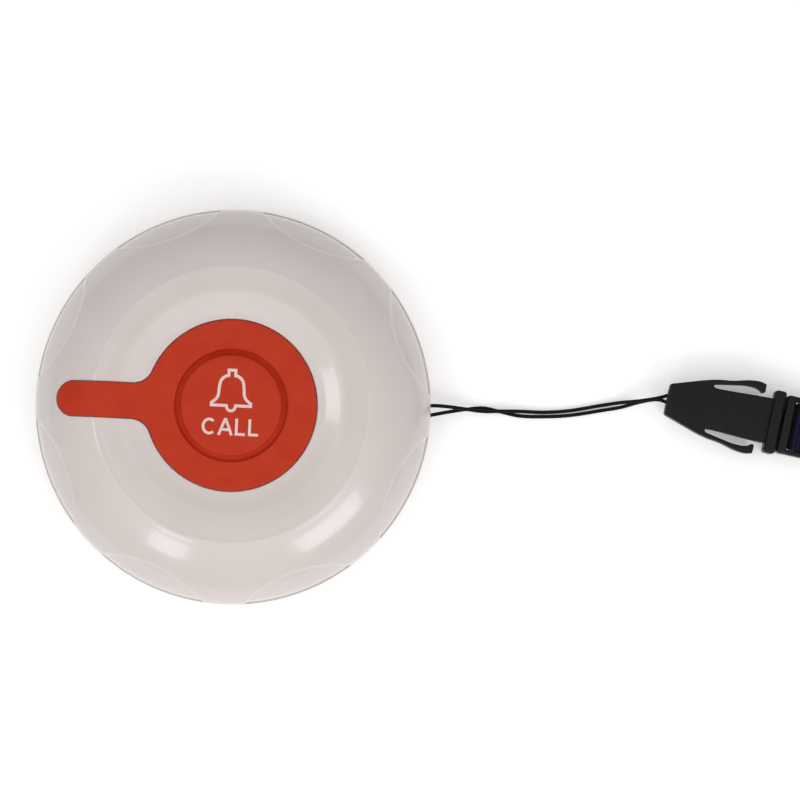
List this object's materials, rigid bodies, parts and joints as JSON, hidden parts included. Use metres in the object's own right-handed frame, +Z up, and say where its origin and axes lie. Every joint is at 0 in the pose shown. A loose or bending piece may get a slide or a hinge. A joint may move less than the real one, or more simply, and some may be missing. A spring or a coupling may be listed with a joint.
{
  "type": "wireless call button",
  "caption": "Round domed wireless call button with a red silicone key, on a thin string loop, side-release buckle and woven neck strap wound in a coil.",
  "frame": {"origin": "centre of the housing's flat underside, on the surface it lies on", "axes": "+Z up through the key; +X towards the lanyard, the key's tab points to -X; +Y the direction away from a person who reads the key"},
  "size_m": [0.2726, 0.1289, 0.0205],
  "materials": {
    "gloss_white": "glossy moulded plastic",
    "red_silicone": "matt silicone",
    "black_rubber": "matt",
    "inner_plastic": "satin moulded plastic",
    "board_green": "solder mask on glass laminate",
    "black_plastic": "fine-grained moulded plastic",
    "steel": "nickel plated",
    "brass": "drawn wire",
    "battery_wrap": "shrink sleeve",
    "led_red": "tinted epoxy",
    "black_cord": "braided string",
    "navy_tape": "woven tape",
    "ceramic": "fired ceramic"
  },
  "bodies": {
    "housing": {"base_cover": "gloss_white", "top_cover": "gloss_white", "seal_ring": "black_rubber", "silicone_pad": "red_silicone", "circuit_board": "board_green", "switch_body": "black_plastic", "indicator_led": "led_red", "radio_chip": "black_plastic", "encoder_chip": "black_plastic", "resonator_can": "steel", "filter_capacitor": "steel", "antenna_coil": "brass", "chip_resistor_1": "ceramic", "chip_resistor_2": "ceramic", "chip_resistor_3": "ceramic", "chip_resistor_4": "ceramic", "battery": "battery_wrap", "battery_spring": "steel", "battery_plate": "steel", "cover_screw_1": "steel", "cover_screw_2": "steel", "cover_screw_3": "steel", "cover_screw_4": "steel", "board_screw_1": "steel", "board_screw_2": "steel", "board_screw_3": "steel", "lanyard_string": "black_cord", "buckle_socket": "black_plastic"},
    "key": {"button_cap": "red_silicone", "button_plunger": "inner_plastic"},
    "stem": {"switch_stem": "inner_plastic"},
    "strap": {"buckle_plug": "black_plastic", "strap_end": "navy_tape", "strap_lead": "navy_tape", "strap_coil": "navy_tape"}
  },
  "joints": [
    {"name": "button_press", "type": "slide", "parent": "housing", "child": "key", "axis": [0, 0, -1], "range_m": [0, 0.0008], "stiffness_N_per_m": 1500},
    {"name": "stem_press", "type": "slide", "parent": "housing", "child": "stem", "axis": [0, 0, -1], "range_m": [0, 0.0004], "stiffness_N_per_m": 500},
    {"name": "buckle_release", "type": "slide", "parent": "housing", "child": "strap", "axis": [0.986, -0.1668, 0], "range_m": [0, 0.03]}
  ],
  "couplings": [
    {"joint": "stem_press", "follows": "button_press", "ratio": 0.4375}
  ]
}
